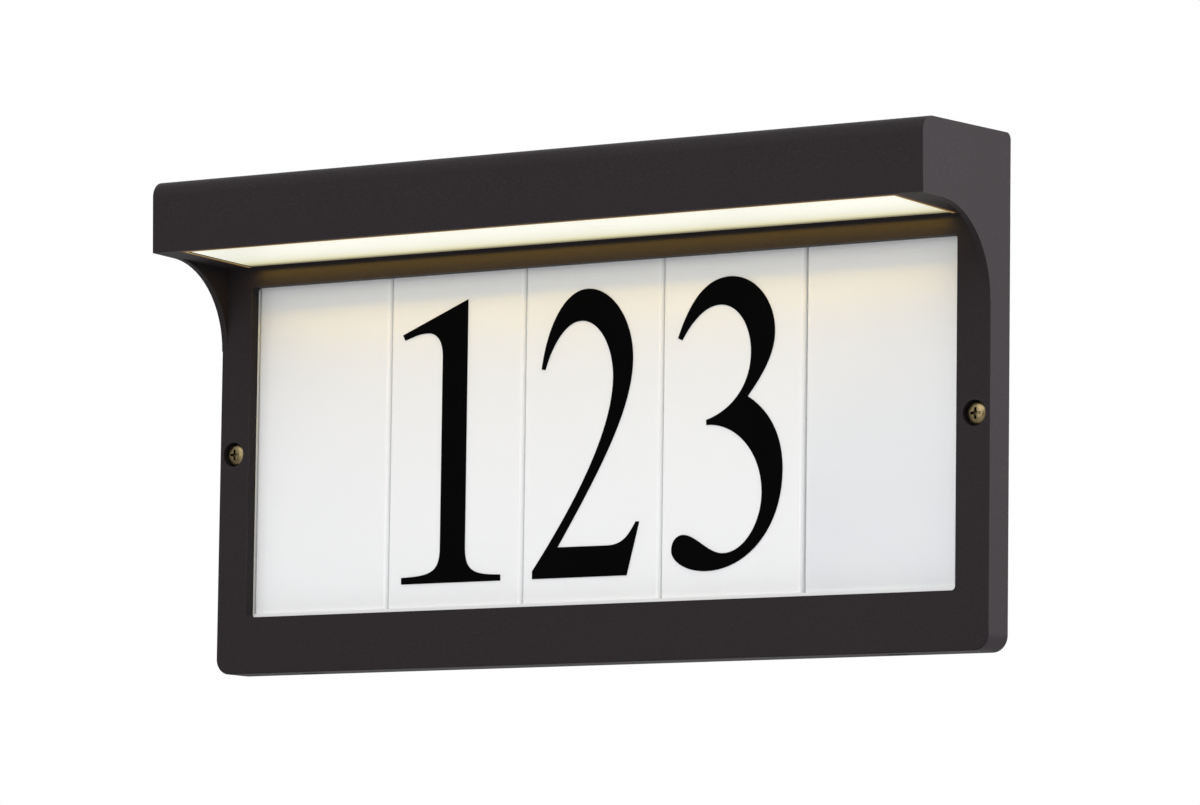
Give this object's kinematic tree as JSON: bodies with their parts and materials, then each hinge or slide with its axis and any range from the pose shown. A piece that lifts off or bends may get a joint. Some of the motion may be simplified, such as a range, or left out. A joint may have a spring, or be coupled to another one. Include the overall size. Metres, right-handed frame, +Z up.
{
  "type": "illuminated house number sign",
  "caption": "Wall-mounted address sign: cast housing with a projecting light hood over a framed row of lift-out number tiles.",
  "frame": {"origin": "on the wall, at the middle of the bottom edge of the housing's rear rim", "axes": "+X across the sign to the viewer's right, +Y into the wall, +Z up"},
  "size_m": [0.343, 0.0581, 0.1848],
  "materials": {
    "bronze_powder_coat": "fine-textured dark bronze powder coat",
    "tile_white": "satin white acrylic",
    "carrier_white": "fine-grained moulding",
    "opal_lens": "opal diffuser",
    "yellow_zinc": "yellow passivated zinc",
    "black_rubber": "matt",
    "clear_silicone": "matt",
    "reflector_white": "white enamel",
    "board_white": "white solder mask on aluminium",
    "pad_grey": "filled silicone",
    "led_phosphor": "phosphor lens",
    "bright_zinc": "bright zinc",
    "galvanized_sheet": "galvanised sheet",
    "driver_case": "moulded",
    "terminal_grey": "moulded",
    "connector_cream": "moulded",
    "lead_insulation": "smooth",
    "earth_green": "green dipped steel"
  },
  "bodies": {
    "wall_side": {"wall_plate": "galvanized_sheet", "clinch_nuts": "bright_zinc", "wire_grommet": "black_rubber", "ground_screw": "earth_green"},
    "housing_group": {"housing": "bronze_powder_coat", "tile_carrier": "carrier_white", "carrier_screws": "bright_zinc", "hood_lens": "opal_lens", "lens_gasket": "clear_silicone", "reflector": "reflector_white", "thermal_pad": "pad_grey", "led_board": "board_white", "led_packages": "led_phosphor", "board_screws": "bright_zinc", "led_driver": "driver_case", "driver_screws": "bright_zinc", "terminal_block": "terminal_grey", "board_connector": "connector_cream", "board_leads": "lead_insulation", "supply_leads": "lead_insulation", "screw_o_rings": "black_rubber"},
    "left_screw": {"side_screw_left": "yellow_zinc"},
    "right_screw": {"side_screw_right": "yellow_zinc"},
    "tile_1": {"number_tile_1": "tile_white"},
    "tile_2": {"number_tile_2": "tile_white"},
    "tile_3": {"number_tile_3": "tile_white"},
    "tile_4": {"number_tile_4": "tile_white"},
    "tile_5": {"number_tile_5": "tile_white"}
  },
  "joints": [
    {"name": "housing_pull_off", "type": "slide", "parent": "wall_side", "child": "housing_group", "axis": [0, -1, 0], "range_m": [0, 0.06]},
    {"name": "left_screw_turn", "type": "hinge", "parent": "housing_group", "child": "left_screw", "pos_m": [-0.1649, -0.009, 0.084], "axis": [0, -1, 0], "continuous": true},
    {"name": "right_screw_turn", "type": "hinge", "parent": "housing_group", "child": "right_screw", "pos_m": [0.1649, -0.009, 0.084], "axis": [0, -1, 0], "continuous": true},
    {"name": "tile_1_lift", "type": "slide", "parent": "housing_group", "child": "tile_1", "axis": [0, 0, 1], "range_m": [0, 0.004]},
    {"name": "tile_2_lift", "type": "slide", "parent": "housing_group", "child": "tile_2", "axis": [0, 0, 1], "range_m": [0, 0.004]},
    {"name": "tile_3_lift", "type": "slide", "parent": "housing_group", "child": "tile_3", "axis": [0, 0, 1], "range_m": [0, 0.004]},
    {"name": "tile_4_lift", "type": "slide", "parent": "housing_group", "child": "tile_4", "axis": [0, 0, 1], "range_m": [0, 0.004]},
    {"name": "tile_5_lift", "type": "slide", "parent": "housing_group", "child": "tile_5", "axis": [0, 0, 1], "range_m": [0, 0.004]}
  ]
}
